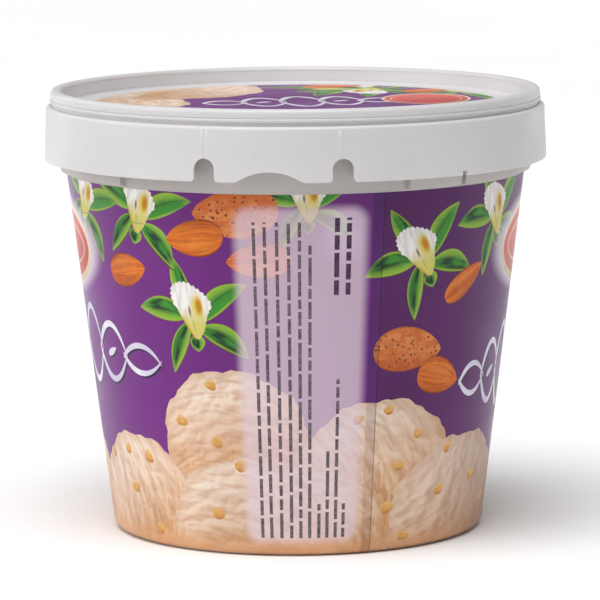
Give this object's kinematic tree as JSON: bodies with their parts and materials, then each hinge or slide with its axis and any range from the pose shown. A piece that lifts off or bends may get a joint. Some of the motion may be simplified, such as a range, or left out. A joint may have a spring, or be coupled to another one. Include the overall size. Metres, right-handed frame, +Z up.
{
  "type": "ice cream tub",
  "caption": "Round tapered plastic ice cream tub, shut with a push-on lid that has a tear tab and a sunken top, with printed films round its wall and on its lid.",
  "frame": {"origin": "centre of the standing ring, on the table", "axes": "+Z up along the tub's axis, -Y towards the front with the lid's tear tab, +X to the right seen from the front"},
  "size_m": [0.133, 0.133, 0.117],
  "materials": {
    "tub_plastic": "satin",
    "wall_print": "gloss",
    "lid_plastic": "satin",
    "lid_print": "gloss"
  },
  "bodies": {
    "root": {"tub": "tub_plastic", "wall_label": "wall_print", "lid": "lid_plastic", "lid_label": "lid_print"}
  },
  "joints": []
}
